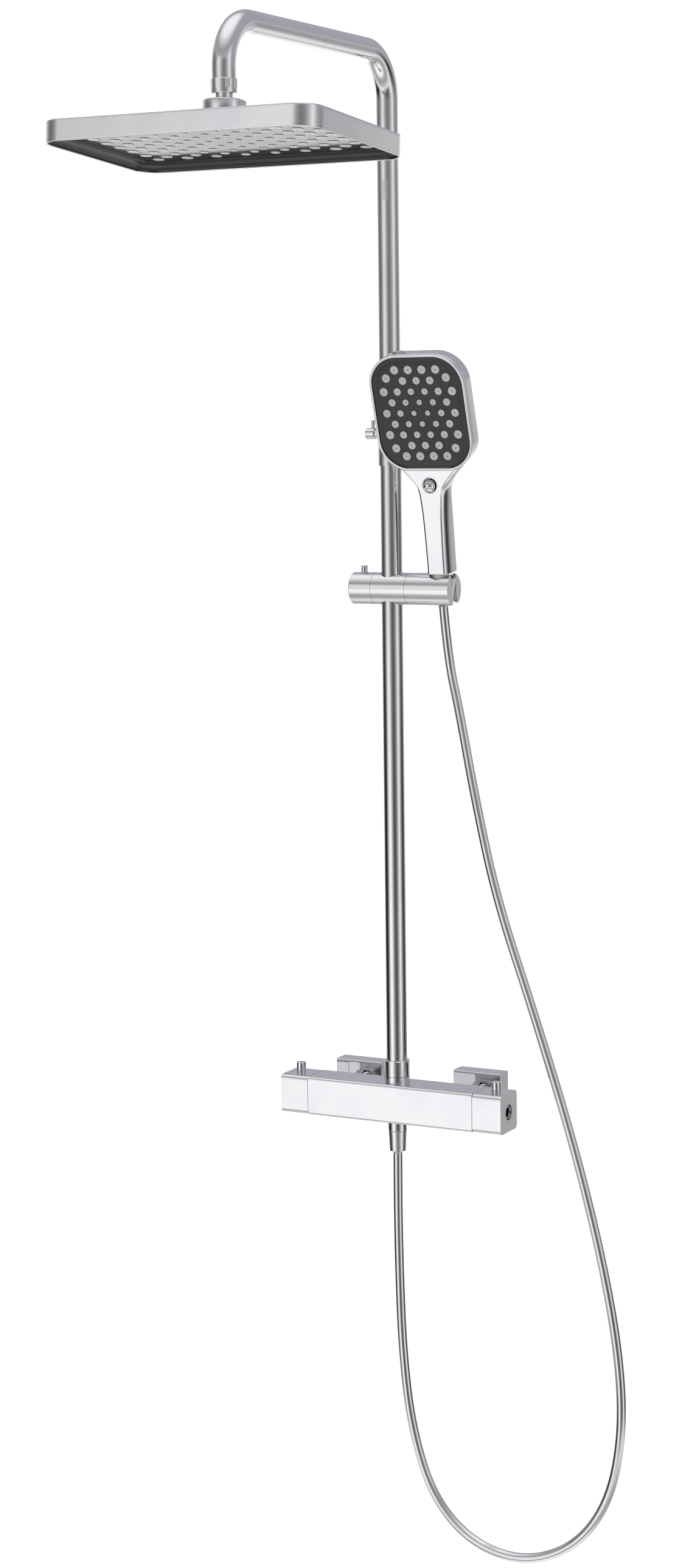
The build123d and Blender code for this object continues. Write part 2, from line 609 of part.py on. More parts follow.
def water_tube():
    """Wide tube in the grip, then a narrow one behind the button's recess."""
    outside = rod_z(4.9, HANDLE_BOTTOM + 9, 99.0, 0, 0.5) + rod_z(2.3, 98.0, 134.0, 0, 2.9)
    return outside - rod_z(3.8, HANDLE_BOTTOM + 8, 97.8, 0, 0.5) - rod_z(1.6, 97.0, 135.0, 0, 2.9)


def handset_nipple():
    """Male threaded foot of the handset."""
    foot = rod_z(9.3, 10.6, HANDLE_BOTTOM + 8) + rod_z(10.3, 3.2, 10.6)
    return foot - rod_z(5.0, 0, 40)


def handset_button():
    """Push button with a ball-shaped front, in the recess below the head."""
    stem = rod_y(BUTTON_R, BUTTON_FRONT, BUTTON_BACK, 0, BUTTON_UP)
    front_half = rod_y(BUTTON_R + 1, BUTTON_FRONT - BUTTON_R - 1, BUTTON_FRONT, 0, BUTTON_UP)
    dome = Pos(0, BUTTON_FRONT, BUTTON_UP) * Sphere(BUTTON_R) & front_half
    return stem + dome


def button_spring():
    """Compression spring behind the button."""
    end_room = SPRING_WIRE_R + SPRING_GAP
    height = BUTTON_RECESS_FLOOR - BUTTON_BACK - 2 * end_room
    coil = Helix(pitch=height / SPRING_TURNS, height=height, radius=SPRING_R)
    start = Plane(origin=coil @ 0, z_dir=coil % 0)
    spring = sweep(start * Circle(SPRING_WIRE_R), path=coil)
    return Pos(0, BUTTON_RECESS_FLOOR - end_room, BUTTON_UP) * Rot(90, 0, 0) * spring


# ---- hose ------------------------------------------------------------------------------------
def outlet_nipple():
    """Threaded outlet screwed up into the valve."""
    return tube_z(9.0, 5.0, OUTLET_RING_Z + 2, -VALVE_SIZE / 2, 0, COLUMN_Y)


def hose_nut():
    """Ring nut of the hose under the valve."""
    nut = tube_z(OUTLET_R, 9.05, OUTLET_RING_Z + 0.3, -VALVE_SIZE / 2 - 0.4, 0, COLUMN_Y)
    return fillet(nut.edges().group_by(Axis.Z)[0].sort_by(SortBy.RADIUS)[-1], 0.4)


def hose_washer():
    return tube_z(9.0, HOSE_R, OUTLET_RING_Z, OUTLET_RING_Z + 1.9, 0, COLUMN_Y)


def hose_cone():
    """Long tapered sleeve in which the hose ends, below the ring nut."""
    cone = cone_z(OUTLET_CONE_R, OUTLET_R - 0.3, OUTLET_CONE_Z, OUTLET_RING_Z, 0, COLUMN_Y)
    return cone - rod_z(4.2, OUTLET_CONE_Z - 1, OUTLET_RING_Z + 1, 0, COLUMN_Y)


def cone_nut():
    """Tapered nut on the handset's end of the hose; it sits in the cradle."""
    low_r, high_r, low, high = CONE_NUT
    nut = cone_z(low_r, high_r, low, high)
    nut -= rod_z(10.45, 1.0, high + 1)
    return nut - rod_z(4.2, low - 1, 2.0)


def cone_washer():
    return tube_z(10.2, 4.6, 1.0, 3.2)


def hose():
    """The hanging hose: straight runs joined by the largest arcs that they allow."""
    points = [Vector(*point) for point in HOSE_ROUTE]
    radii = []
    for before, here, after in zip(points, points[1:], points[2:]):
        turn = (here - before).get_angle(after - here)
        shorter = min((here - before).length, (after - here).length)
        radii.append(0.45 * shorter / math.tan(math.radians(turn) / 2))
    print("hose radii", [round(radius) for radius in radii])
    path = FilletPolyline(*points, radius=radii)
    start = Plane(origin=path @ 0, z_dir=path % 0)
    tube = sweep(start * Circle(HOSE_R), path=path)
    share = tube.volume / (math.pi * HOSE_R ** 2 * path.length)
    print("hose length", round(path.length), "volume over section times length", round(share, 4))
    return tube


NODES = {
    "valve_body": valve_body,
    "union_nuts": lambda: Compound([union_nut(-1), union_nut(1)]),
    "inlet_washers": lambda: Compound([inlet_washer(-1), inlet_washer(1)]),
    "thermostatic_cartridge": lambda: cartridge(1),
    "flow_cartridge": lambda: cartridge(-1),
    "temp_handle": lambda: handle(1),
    "temp_handle_pin": lambda: handle_pin(1),
    "temp_handle_screw": lambda: handle_screw(1),
    "flow_handle": lambda: handle(-1),
    "flow_handle_pin": lambda: handle_pin(-1),
    "flow_handle_screw": lambda: handle_screw(-1),
    "collar_ring": collar_ring,
    "collar_nut": collar_nut,
    "lower_tube": lower_tube,
    "bracket_sleeve": bracket_sleeve,
    "bracket_arm": bracket_arm,
    "bracket_plate": bracket_plate,
    "lock_knob": lock_knob,
    "lock_lever": lock_lever,
    "joint_bush": joint_bush,
    "guide_tube": guide_tube,
    "guide_seals": guide_seals,
    "upper_tube": upper_tube,
    "arm_nipple": arm_nipple,
    "ball_nut": ball_nut,
    "ball_stud": ball_stud,
    "ball_seat": ball_seat,
    "ball_socket": ball_socket,
    "socket_cap": socket_cap,
    "head_shell": head_shell,
    "head_bezel": head_bezel,
    "head_plate": head_plate,
    "head_nozzles": head_nozzles,
    "head_cover": head_cover,
    "slider_bush": slider_bush,
    "slider_block": slider_block,
    "slider_knob": slider_knob,
    "slider_lever": slider_lever,
    "cradle_pin": cradle_pin,
    "cradle": cradle,
    "handset_shell": lambda: SOCKET * handset_shell(),
    "handset_plate": lambda: SOCKET * handset_plate(),
    "handset_nozzles": lambda: SOCKET * handset_nozzles(),
    "handset_chamber": lambda: SOCKET * handset_chamber(),
    "handset_nipple": lambda: SOCKET * handset_nipple(),
    "handset_button": lambda: SOCKET * handset_button(),
    "button_spring": lambda: SOCKET * button_spring(),
    "water_tube": lambda: SOCKET * water_tube(),
    "outlet_nipple": outlet_nipple,
    "hose_nut": hose_nut,
    "hose_washer": hose_washer,
    "hose_cone": hose_cone,
    "cone_nut": lambda: SOCKET * cone_nut(),
    "cone_washer": lambda: SOCKET * cone_washer(),
    "hose": hose,
}
for side, name in ((-1, "left"), (1, "right")):
    NODES["wall_connector_" + name] = lambda side=side: wall_connector(side)
    NODES["wall_flange_" + name] = lambda side=side: wall_flange(side)

os.makedirs("parts", exist_ok=True)
for node, build in NODES.items():
    export_step(build(), f"parts/{node}.step")
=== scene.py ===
# %% [markdown]
# # A rainfall shower column, dressed for its picture
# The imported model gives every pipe, nut and nozzle its true size and place, and the joints
# their bodies. This lesson puts a camera and studio light round it, hangs the hose, gives each
# piece its finish, and replaces the moulded pieces with finer surfaces. The origin is on the
# wall, midway between the inlets; +X is to the right, +Y into the wall, +Z up.

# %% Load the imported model
import json
import math
import bpy
import numpy as np
from mathutils import Matrix, Vector


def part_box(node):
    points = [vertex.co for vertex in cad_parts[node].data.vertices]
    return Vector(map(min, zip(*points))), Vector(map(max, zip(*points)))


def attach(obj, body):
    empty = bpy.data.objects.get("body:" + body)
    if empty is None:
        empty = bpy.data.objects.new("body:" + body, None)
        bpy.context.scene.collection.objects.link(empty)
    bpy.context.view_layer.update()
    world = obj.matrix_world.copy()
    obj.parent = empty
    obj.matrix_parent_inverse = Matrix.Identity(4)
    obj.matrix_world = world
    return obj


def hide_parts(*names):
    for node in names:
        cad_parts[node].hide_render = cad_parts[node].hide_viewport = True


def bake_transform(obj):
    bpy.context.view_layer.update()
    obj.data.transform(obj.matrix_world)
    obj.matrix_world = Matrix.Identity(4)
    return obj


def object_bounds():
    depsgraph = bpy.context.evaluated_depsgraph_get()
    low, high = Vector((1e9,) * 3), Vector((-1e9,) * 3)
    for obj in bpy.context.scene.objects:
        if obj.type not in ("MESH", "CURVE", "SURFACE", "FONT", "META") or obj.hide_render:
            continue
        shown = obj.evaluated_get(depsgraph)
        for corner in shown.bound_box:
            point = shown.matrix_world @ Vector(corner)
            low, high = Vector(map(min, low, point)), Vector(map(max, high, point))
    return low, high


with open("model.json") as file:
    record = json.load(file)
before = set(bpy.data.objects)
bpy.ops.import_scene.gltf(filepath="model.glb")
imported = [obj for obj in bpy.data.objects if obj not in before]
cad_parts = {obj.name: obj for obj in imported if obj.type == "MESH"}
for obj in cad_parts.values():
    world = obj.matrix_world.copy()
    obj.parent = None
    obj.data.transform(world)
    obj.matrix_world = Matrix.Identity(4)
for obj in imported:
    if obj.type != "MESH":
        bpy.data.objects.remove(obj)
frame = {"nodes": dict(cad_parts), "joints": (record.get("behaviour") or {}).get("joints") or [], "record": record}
cad_box = [list(corner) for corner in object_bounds()]
column_low, column_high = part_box("lower_tube")
COLUMN_Y = (column_low[1] + column_high[1]) / 2
print("model box in metres", cad_box, "column y", round(COLUMN_Y, 4))

# %% [markdown]
# ## Camera
# The viewer stands 3.25 m away, to the right of the column and a little above the valve, and
# looks slightly down. A camera in Blender looks along its own -Z with +Y up, so its axes are
# written from three angles: the turn round the vertical, the tilt down, and a small roll.

# %% Camera
EYE = Vector((1.466579, -2.984371, 0.766123))
TURN, TILT, ROLL = (math.radians(angle) for angle in (27.773, 7.083, 0.727))
FRAME_HEIGHT = 2576
FOCAL_IN_FRAME = 4841.88
SENSOR = 36.0

ahead = Vector((-math.sin(TURN) * math.cos(TILT), math.cos(TURN) * math.cos(TILT), -math.sin(TILT)))
level = Vector((math.cos(TURN), math.sin(TURN), 0.0))
below = ahead.cross(level)
right = math.cos(ROLL) * level + math.sin(ROLL) * below
down = math.cos(ROLL) * below - math.sin(ROLL) * level
axes = Matrix((right, -down, -ahead)).transposed()

camera = bpy.data.objects.new("camera", bpy.data.cameras.new("camera"))
camera.matrix_world = Matrix.Translation(EYE) @ axes.to_4x4()
camera.data.sensor_width = SENSOR
camera.data.lens = SENSOR * FOCAL_IN_FRAME / FRAME_HEIGHT
camera.data.clip_end = 60.0
bpy.context.scene.collection.objects.link(camera)
bpy.context.scene.camera = camera
print("lens", round(camera.data.lens, 2), "mm, distance", round(EYE.length, 3), "m")

# %% [markdown]
# ## The line of the hose
# A shower hose is a plastic tube in a smooth metal-look skin. It leaves the cone under the
# valve, hangs in one wide loop and climbs to the handset's nut. A NURBS curve of order 3
# follows such a route with the few points that a hand would bend it by; its order and its end
# points are set after the points exist, or it stays a row of straight runs.

# %% Hose line
HOSE_ROUTE = [
    (0.0, -0.0725, -0.057), (-0.0005, -0.0725, -0.115), (0.0005, -0.0725, -0.2),
    (0.004, -0.0735, -0.29), (0.015, -0.075, -0.378), (0.042, -0.077, -0.456),
    (0.092, -0.079, -0.502), (0.158, -0.08, -0.513), (0.219, -0.079, -0.485),
    (0.259, -0.077, -0.428), (0.274, -0.075, -0.352), (0.271, -0.0735, -0.27),
    (0.252, -0.0725, -0.165), (0.217, -0.072, -0.032), (0.1705, -0.071, 0.108),
    (0.1235, -0.07, 0.238), (0.096, -0.068, 0.355), (0.077, -0.0635, 0.444),
    (0.0625, -0.0614, 0.502), (0.0615, -0.0703, 0.56305),
]
HOSE_DIAMETER = 0.0108


def curve_line(name, route, resolution):
    """Points of the NURBS curve of order 3 through a route's control points."""
    curve = bpy.data.curves.new(name, "CURVE")
    curve.dimensions = "3D"
    spline = curve.splines.new("NURBS")
    spline.points.add(len(route) - 1)
    for point, place in zip(spline.points, route):
        point.co = (*place, 1.0)
    spline.order_u = 3
    spline.use_endpoint_u = True
    spline.resolution_u = resolution
    holder = bpy.data.objects.new(name, curve)
    mesh = bpy.data.meshes.new_from_object(holder)
    line = np.empty(len(mesh.vertices) * 3)
    mesh.vertices.foreach_get("co", line)
    bpy.data.objects.remove(holder)
    bpy.data.curves.remove(curve)
    bpy.data.meshes.remove(mesh)
    return line.reshape(-1, 3)


hose_line = curve_line("hose_line", HOSE_ROUTE, 24)
hose_length = np.linalg.norm(np.diff(hose_line, axis=0), axis=1).sum()
print("hose", len(hose_line), "points,", round(hose_length, 3), "m long")

# %% [markdown]
# ## Surfaces from numpy grids
# Every new piece is a grid of points, rows by columns, joined by four-sided faces. The helper
# closes the grid round its columns and caps its ends where asked. Rows that run from bottom to
# top with columns anticlockwise give faces that look outwards.

# %% Grid helper


def grid_faces(rows, columns):
    """Face (i, j) joins points (i, j), (i, j+1), (i+1, j+1), (i+1, j); the last column joins the
    first, so every grid is a ring."""
    i, j = np.meshgrid(np.arange(rows - 1), np.arange(columns), indexing="ij")
    after = (j + 1) % columns
    low, high = i * columns, (i + 1) * columns
    return np.stack([low + j, low + after, high + after, high + j], -1).reshape(-1, 4)


def mesh_piece(name, points, faces):
    """Smooth-shaded object of the points and faces, linked to the scene."""
    mesh = bpy.data.meshes.new(name)
    mesh.from_pydata(points.reshape(-1, 3).tolist(), [], faces)
    mesh.polygons.foreach_set("use_smooth", [True] * len(faces))
    mesh.update()
    piece = bpy.data.objects.new(name, mesh)
    bpy.context.scene.collection.objects.link(piece)
    return piece


def grid_piece(name, grid, caps=(False, False)):
    """Mesh of a rows x columns x 3 grid; a cap closes the first or the last row."""
    rows, columns = grid.shape[:2]
    faces = grid_faces(rows, columns).tolist()
    if caps[0]:
        faces.append(list(range(columns - 1, -1, -1)))
    if caps[1]:
        faces.append(list(range((rows - 1) * columns, rows * columns)))
    return mesh_piece(name, grid, faces)


def tube_grid(line, radius, columns):
    """Ring of points round each point of a line: centre + radius * (cos a * side + sin a * up),
    where side and up are carried along the line without twist."""
    along = np.gradient(line, axis=0)
    along /= np.linalg.norm(along, axis=1)[:, None]
    side = np.empty_like(line)
    side[0] = np.cross(along[0], (0.0, 1.0, 0.0))
    for k in range(1, len(line)):
        side[k] = side[k - 1] - along[k] * (side[k - 1] @ along[k])
    side /= np.linalg.norm(side, axis=1)[:, None]
    up = np.cross(along, side)
    angle = np.linspace(0, 2 * np.pi, columns, endpoint=False)
    ring = np.cos(angle)[None, :, None] * side[:, None] + np.sin(angle)[None, :, None] * up[:, None]
    return line[:, None] + radius * ring


# %% [markdown]
# ## Hanging the hose so that it follows
# The real hose bends as the slider slides and turns, and as the handset tilts or is lifted.
# One stiff tube would tear away from the nut, so the line is cut into five lengths. The first
# stays on the column, and each of the others blends from one body of the chain to the next,
# so its lower end follows the length before it and its upper end the length after it.

# %% Hose lengths
HOSE_SIDES = 24
HOSE_CHAIN = [
    ("hose_loop", "column", None, None),
    ("hose_rise", "column", "slider_bush", -0.45),
    ("hose_sweep", "slider_bush", "slider", 0.27),
    ("hose_neck", "slider", "cradle", 0.41),
    ("hose_end", "cradle", "handset", 0.488),
]


def hang_hose():
    """Cuts the line at each height of the rising branch and hangs the first length on the column; the others stay
    where they are cut.
    """
    rings = tube_grid(hose_line, HOSE_DIAMETER / 2, HOSE_SIDES)
    walked = np.concatenate([[0.0], np.linalg.norm(np.diff(hose_line, axis=0), axis=1).cumsum()])
    lowest = hose_line[:, 2].argmin()
    cuts = [0] + [lowest + np.searchsorted(hose_line[lowest:, 2], start) for *_, start in HOSE_CHAIN[1:]]
    cuts.append(len(hose_line) - 1)
    pieces = []
    for (name, lower, upper, start), first, last in zip(HOSE_CHAIN, cuts, cuts[1:]):
        rows = slice(first, last + 1)
        caps = (first == 0, last == len(hose_line) - 1)
        piece = grid_piece(name, rings[rows], caps=caps)
        if upper is None:
            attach(piece, lower)
        else:
            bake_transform(piece)
        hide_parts("hose")
        pieces.append(piece)
    return pieces


def mark_share(piece, share):
    """Stores one number for each point, which a finish can read as the attribute share."""
    attribute = piece.data.attributes.new("share", "FLOAT", "POINT")
    attribute.data.foreach_set("value", np.asarray(share, np.float32).ravel())


hose_pieces = hang_hose()

# %% [markdown]
# ## Studio
# Polished chrome shows nothing but the room, so the room is the finish. It is drawn in the
# world shader: two tall soft boxes, at the front left and at the right, dark cards beside
# them, a bright wall behind and a bright ceiling and floor. One ramp runs round the horizon
# and another from floor to ceiling; the camera itself sees plain white.

# %% Studio ramps
# each stop is an angle in degrees and a brightness
HORIZON = [
    (-180, 0.72), (-150, 0.95), (-128, 0.85), (-112, 0.50), (-98, 0.14), (-86, 0.015), (-74, 0.008),
    (-62, 0.06), (-48, 0.30), (-36, 0.74), (-28, 0.98), (-18, 1.00), (-8, 0.84), (4, 0.42), (15, 0.18),
    (30, 0.07), (45, 0.15), (60, 0.42), (80, 0.95), (95, 0.48), (108, 0.16), (126, 0.012), (140, 0.15),
    (158, 0.42), (180, 0.72)]
HEIGHTS = [
    (-90, 0.95), (-66, 0.92), (-56, 0.45), (-45, 0.36), (-35, 0.52), (-24, 0.88), (0, 0.70), (18, 0.60),
    (27, 0.38), (36, 0.33), (48, 0.56), (62, 0.88), (90, 1.0)]
STUDIO_STRENGTH = 1.36
BACK_WALL = (0.36, 0.36, 0.40, 1.0)
WHITE = (1.0, 1.0, 1.0, 1.0)
BLACK = (0.0, 0.0, 0.0, 1.0)


def ramp_from(nodes, stops, low, high):
    """Colour ramp of grey stops, each an angle between low and high with its brightness."""
    node = nodes.new("ShaderNodeValToRGB")
    ramp = node.color_ramp
    while len(ramp.elements) < len(stops):
        ramp.elements.new(0.5)
    for element, (angle, light) in zip(ramp.elements, stops):
        element.position = (angle - low) / (high - low)
        element.color = (light, light, light, 1.0)
    return node


# %% [markdown]
# ## Short words for shader nodes
# A material is a graph, and building one means making nodes and joining their sockets. These
# helpers do both in one call: each takes numbers or the outputs of other nodes.

# %% Node helpers


class Graph:
    """Adds nodes to a node tree; a value may be a number, a colour or another node's output."""

    def __init__(self, tree):
        self.tree = tree
        self.nodes, self.links = tree.nodes, tree.links

    def put(self, socket, value):
        if isinstance(value, bpy.types.NodeSocket):
            self.links.new(value, socket)
        elif value is not None:
            socket.default_value = value

    def math(self, operation, a, b=None, c=None):
        node = self.nodes.new("ShaderNodeMath")
        node.operation = operation
        for socket, value in zip(node.inputs, (a, b, c)):
            self.put(socket, value)
        return node.outputs[0]

    def mix(self, share, a, b):
        node = self.nodes.new("ShaderNodeMix")
        node.data_type = "RGBA"
        for index, value in ((0, share), (6, a), (7, b)):
            self.put(node.inputs[index], value)
        return node.outputs[2]

    def span(self, value, low, high, to_low=0.0, to_high=1.0, kind="SMOOTHSTEP"):
        node = self.nodes.new("ShaderNodeMapRange")
        node.interpolation_type = kind
        for socket, number in zip(node.inputs, (value, low, high, to_low, to_high)):
            self.put(socket, number)
        return node.outputs[0]

    def noise(self, vector, scale, detail=3.0, rough=0.5):
        node = self.nodes.new("ShaderNodeTexNoise")
        self.put(node.inputs["Vector"], vector)
        self.put(node.inputs["Scale"], scale)
        node.inputs["Detail"].default_value = detail
        node.inputs["Roughness"].default_value = rough
        return node.outputs["Fac"]


def sine_of(angle):
    return math.sin(math.radians(angle))


# %% [markdown]
# ## The room in the world shader
# The ramp round the room is used near the horizon and the ramp of heights above and below it.
# A thin haze brightens the horizon a little, a soft dimmer takes the glare off the front, and
# the upper back is a plain wall.

# %% Studio world
SEEN_FROM, SEEN_TO = 16, 30      # degrees from the horizon over which the heights take over
HAZE_FROM, HAZE_TO, HAZE = -8, 5, 0.2
DIM_FROM, DIM_TO, DIM = -10, 1, 0.24
WALL_FROM, WALL_TO = 4, 11


def light_studio():
    """Turn about Z and height of each direction pick its brightness from the two ramps."""
    world = bpy.data.worlds.new("studio")
    bpy.context.scene.world = world
    world.use_nodes = True
    graph = Graph(world.node_tree)
    graph.nodes.clear()
    axes = graph.nodes.new("ShaderNodeSeparateXYZ")
    graph.put(axes.inputs[0], graph.nodes.new("ShaderNodeTexCoord").outputs["Generated"])
    x, y, z = axes.outputs
    turn = graph.math("ARCTAN2", x, graph.math("MULTIPLY", y, -1.0))
    round_ramp = ramp_from(graph.nodes, HORIZON, -180, 180)
    graph.put(round_ramp.inputs[0], graph.math("MULTIPLY_ADD", turn, 0.5 / math.pi, 0.5))
    up_ramp = ramp_from(graph.nodes, HEIGHTS, -90, 90)
    graph.put(up_ramp.inputs[0], graph.math("MULTIPLY_ADD", graph.math("ARCSINE", z), 1 / math.pi, 0.5))
    haze = graph.span(z, sine_of(HAZE_FROM), sine_of(HAZE_TO), 0.0, HAZE)
    front = graph.span(y, 0.2, -0.4)
    dimmer = graph.math("MULTIPLY", front, graph.span(z, sine_of(DIM_FROM), sine_of(DIM_TO), 0.0, DIM))
    horizon = graph.mix(dimmer, graph.mix(haze, round_ramp.outputs[0], WHITE), BLACK)
    away = graph.span(graph.math("ABSOLUTE", z), sine_of(SEEN_FROM), sine_of(SEEN_TO))
    room = graph.mix(away, horizon, up_ramp.outputs[0])
    behind = graph.span(y, 0.1, 0.6)
    high = graph.span(z, sine_of(WALL_FROM), sine_of(WALL_TO))
    high = graph.math("MULTIPLY", high, graph.span(z, 0.95, 0.7))
    room = graph.mix(graph.math("MULTIPLY", behind, high), room, BACK_WALL)
    seen = graph.nodes.new("ShaderNodeLightPath").outputs["Is Camera Ray"]
    background = graph.nodes.new("ShaderNodeBackground")
    background.inputs["Strength"].default_value = STUDIO_STRENGTH
    graph.put(background.inputs["Color"], graph.mix(seen, room, WHITE))
    out = graph.nodes.new("ShaderNodeOutputWorld")
    graph.put(out.inputs["Surface"], background.outputs[0])


light_studio()
bpy.context.scene.view_settings.view_transform = "Standard"

# %% [markdown]
# ## Floor
# A pale disc below the hose gives the picture a ground. It glows a little, so that it stays
# white under a column that hangs above it, and it is hidden from reflections.

# %% Floor
FLOOR_DROP = 0.09                # below the lowest point of the hose
FLOOR_RADIUS = 1.3
FLOOR_GLOW = 0.5


def disc_grid(radius, height, rings, columns):
    """Flat disc: radius * share * (cos a, sin a), with the share from the centre to the edge."""
    share = np.linspace(1.0, 0.001, rings)[:, None]
    angle = np.linspace(0, 2 * np.pi, columns, endpoint=False)[None]
    return np.stack([radius * share * np.cos(angle), radius * share * np.sin(angle),
                     np.full((rings, columns), height)], -1)


def pale_floor():
    level = cad_box[0][2] - FLOOR_DROP
    floor = grid_piece("floor", disc_grid(FLOOR_RADIUS, level, 8, 96), caps=(False, True))
    finish = bpy.data.materials.new("pale_floor")
    finish.use_nodes = True
    shader = finish.node_tree.nodes["Principled BSDF"]
    shader.inputs["Base Color"].default_value = (0.9, 0.9, 0.9, 1.0)
    shader.inputs["Roughness"].default_value = 0.8
    shader.inputs["Emission Color"].default_value = WHITE
    shader.inputs["Emission Strength"].default_value = FLOOR_GLOW
    floor.data.materials.append(finish)
    floor.visible_glossy = False


pale_floor()

# %% [markdown]
# ## Effects that the finishes share
# Real chrome is never perfectly even: it has broad, faint hazy patches from wiping, and a very
# low waviness from the polishing wheel. Moulded plastic has a fine grain instead. Each effect
# is a node group with its own sockets, placed in every finish that needs it.

# %% Shared node groups


def new_group(name, inputs, outputs):
    """Empty shader node group with named sockets, each (name, socket type, default)."""
    tree = bpy.data.node_groups.new(name, "ShaderNodeTree")
    for socket, kind, default in inputs:
        made = tree.interface.new_socket(socket, in_out="INPUT", socket_type=kind)
        if default is not None:
            made.default_value = default
    for socket, kind in outputs:
        tree.interface.new_socket(socket, in_out="OUTPUT", socket_type=kind)
    graph = Graph(tree)
    return graph, graph.nodes.new("NodeGroupInput").outputs, graph.nodes.new("NodeGroupOutput").inputs


def wheel_polish():
    """Wiped haze and buffing waviness of a plated surface."""
    graph, given, result = new_group(
        "wheel_polish",
        [("Vector", "NodeSocketVector", None), ("Patch", "NodeSocketFloat", 14.0),
         ("Smoothest", "NodeSocketFloat", 0.03), ("Haziest", "NodeSocketFloat", 0.09),
         ("Bright", "NodeSocketColor", WHITE), ("Dull", "NodeSocketColor", WHITE)],
        [("Roughness", "NodeSocketFloat"), ("Color", "NodeSocketColor"), ("Height", "NodeSocketFloat")])
    patches = graph.noise(given["Vector"], given["Patch"], 4.0, 0.6)
    haze = graph.span(patches, 0.42, 0.72)
    graph.put(result["Roughness"],
              graph.span(haze, 0.0, 1.0, given["Smoothest"], given["Haziest"], "LINEAR"))
    graph.put(result["Color"], graph.mix(haze, given["Bright"], given["Dull"]))
    waves = graph.math("MULTIPLY", given["Patch"], 9.0)
    graph.put(result["Height"], graph.noise(given["Vector"], waves, 1.0))
    return graph.tree


def mould_grain():
    """Fine grain of a moulded skin: a little lighter on the grains, a little rougher between."""
    graph, given, result = new_group(
        "mould_grain",
        [("Vector", "NodeSocketVector", None), ("Grain", "NodeSocketFloat", 2600.0),
         ("Roughness", "NodeSocketFloat", 0.4), ("Dark", "NodeSocketColor", WHITE),
         ("Light", "NodeSocketColor", WHITE)],
        [("Roughness", "NodeSocketFloat"), ("Color", "NodeSocketColor"), ("Height", "NodeSocketFloat")])
    grains = graph.noise(given["Vector"], given["Grain"], 2.0)
    cloud = graph.noise(given["Vector"], 24.0, 3.0)
    graph.put(result["Height"], grains)
    uneven = graph.span(cloud, 0.3, 0.7, 0.88, 1.12)
    graph.put(result["Roughness"], graph.math("MULTIPLY", given["Roughness"], uneven))
    share = graph.math("ADD", graph.math("MULTIPLY", graph.span(grains, 0.35, 0.65), 0.5),
                       graph.math("MULTIPLY", graph.span(cloud, 0.3, 0.7), 0.5))
    graph.put(result["Color"], graph.mix(share, given["Dark"], given["Light"]))
    return graph.tree


POLISH, GRAIN = wheel_polish(), mould_grain()
print("groups", [group.name for group in bpy.data.node_groups])

# %% [markdown]
# ## Finishes
# Chrome plate reflects about two thirds of the light and is very slightly blue. The hose is a
# bright metal foil under a clear skin. The face of the handset is charcoal plastic with a satin
# grain, and the underside of the overhead shower is the same plastic polished glossy. Brass,
# steel, white plastic and rubber are for the pieces inside.

# %% Finish builders


def new_finish(name):
    """Material with an empty Principled shader; returns its graph, shader and Object vector."""
    finish = bpy.data.materials.new(name)
    finish.use_nodes = True
    graph = Graph(finish.node_tree)
    shader = graph.nodes["Principled BSDF"]
    return finish, graph, shader, graph.nodes.new("ShaderNodeTexCoord").outputs["Object"]


def use_group(graph, tree, **values):
    node = graph.nodes.new("ShaderNodeGroup")
    node.node_tree = tree
    for name, value in values.items():
        graph.put(node.inputs[name], value)
    return node.outputs


def add_bump(graph, shader, height, depth):
    """Height to the shader's normal, depth in metres."""
    bump = graph.nodes.new("ShaderNodeBump")
    bump.inputs["Distance"].default_value = depth
    bump.inputs["Strength"].default_value = 1.0
    graph.put(bump.inputs["Height"], height)
    graph.put(shader.inputs["Normal"], bump.outputs[0])


def plated(name, bright, dull, smoothest, haziest, patch=14.0, wave=0.000004):
    """Metal finish: mirror with wiped haze."""
    finish, graph, shader, place = new_finish(name)
    made = use_group(graph, POLISH, Vector=place, Patch=patch, Smoothest=smoothest, Haziest=haziest,
                     Bright=(*bright, 1.0), Dull=(*dull, 1.0))
    shader.inputs["Metallic"].default_value = 1.0
    graph.put(shader.inputs["Base Color"], made["Color"])
    graph.put(shader.inputs["Roughness"], made["Roughness"])
    add_bump(graph, shader, made["Height"], wave)
    return finish


def moulded(name, dark, light, roughness, grain=2600.0, depth=0.00002):
    """Plastic, silicone or rubber finish with a moulded grain."""
    finish, graph, shader, place = new_finish(name)
    made = use_group(graph, GRAIN, Vector=place, Grain=grain, Roughness=roughness,
                     Dark=(*dark, 1.0), Light=(*light, 1.0))
    graph.put(shader.inputs["Base Color"], made["Color"])
    graph.put(shader.inputs["Roughness"], made["Roughness"])
    add_bump(graph, shader, made["Height"], depth)
    return finish


# %% [markdown]
# ## Silicone with turned rings
# The nozzles are pale silicone, a little glossy, and ringed by the tool that turned their
# mould. Each nozzle carries the attribute share, from its centre to its edge, so that the
# rings follow its own circle whatever its size.

# %% Silicone
RINGS = 34.0                     # radians of the sine from centre to edge


